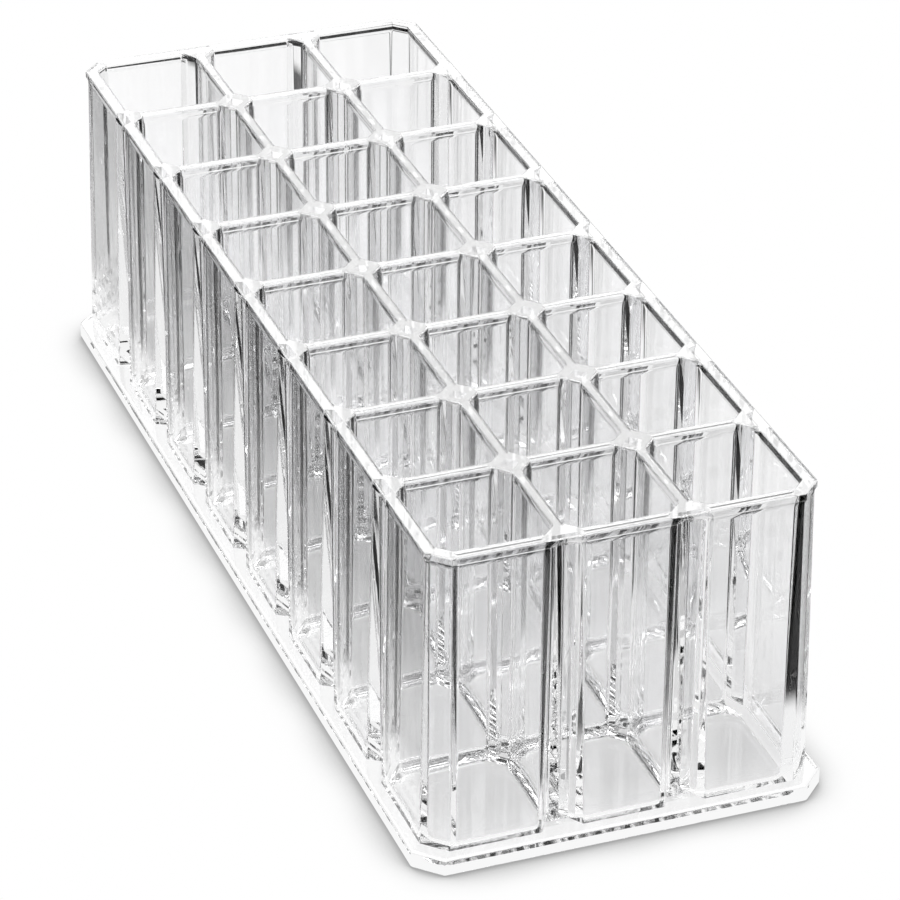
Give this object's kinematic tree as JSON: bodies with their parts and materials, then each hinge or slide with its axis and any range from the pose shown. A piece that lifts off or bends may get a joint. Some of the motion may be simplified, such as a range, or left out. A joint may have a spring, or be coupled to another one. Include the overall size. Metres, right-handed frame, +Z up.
{
  "type": "vanity organizer",
  "caption": "Clear plastic vanity organizer with a grid of deep cut-corner cups, a flat rim and a stepped plinth, for standing lip gloss, lipstick and brushes.",
  "frame": {"origin": "middle of the foot, on the surface that it stands on", "axes": "+X across the columns of cups, +Y along the rows towards the back, +Z up"},
  "size_m": [0.0936, 0.2598, 0.075],
  "materials": {
    "clear_plastic": "clear, polished, faint moulding ripple"
  },
  "bodies": {
    "root": {"base_plinth": "clear_plastic", "rim_grid": "clear_plastic", "cup_a1": "clear_plastic", "cup_a2": "clear_plastic", "cup_a3": "clear_plastic", "cup_a4": "clear_plastic", "cup_a5": "clear_plastic", "cup_a6": "clear_plastic", "cup_a7": "clear_plastic", "cup_a8": "clear_plastic", "cup_b1": "clear_plastic", "cup_b2": "clear_plastic", "cup_b3": "clear_plastic", "cup_b4": "clear_plastic", "cup_b5": "clear_plastic", "cup_b6": "clear_plastic", "cup_b7": "clear_plastic", "cup_b8": "clear_plastic", "cup_c1": "clear_plastic", "cup_c2": "clear_plastic", "cup_c3": "clear_plastic", "cup_c4": "clear_plastic", "cup_c5": "clear_plastic", "cup_c6": "clear_plastic", "cup_c7": "clear_plastic", "cup_c8": "clear_plastic"}
  },
  "joints": []
}
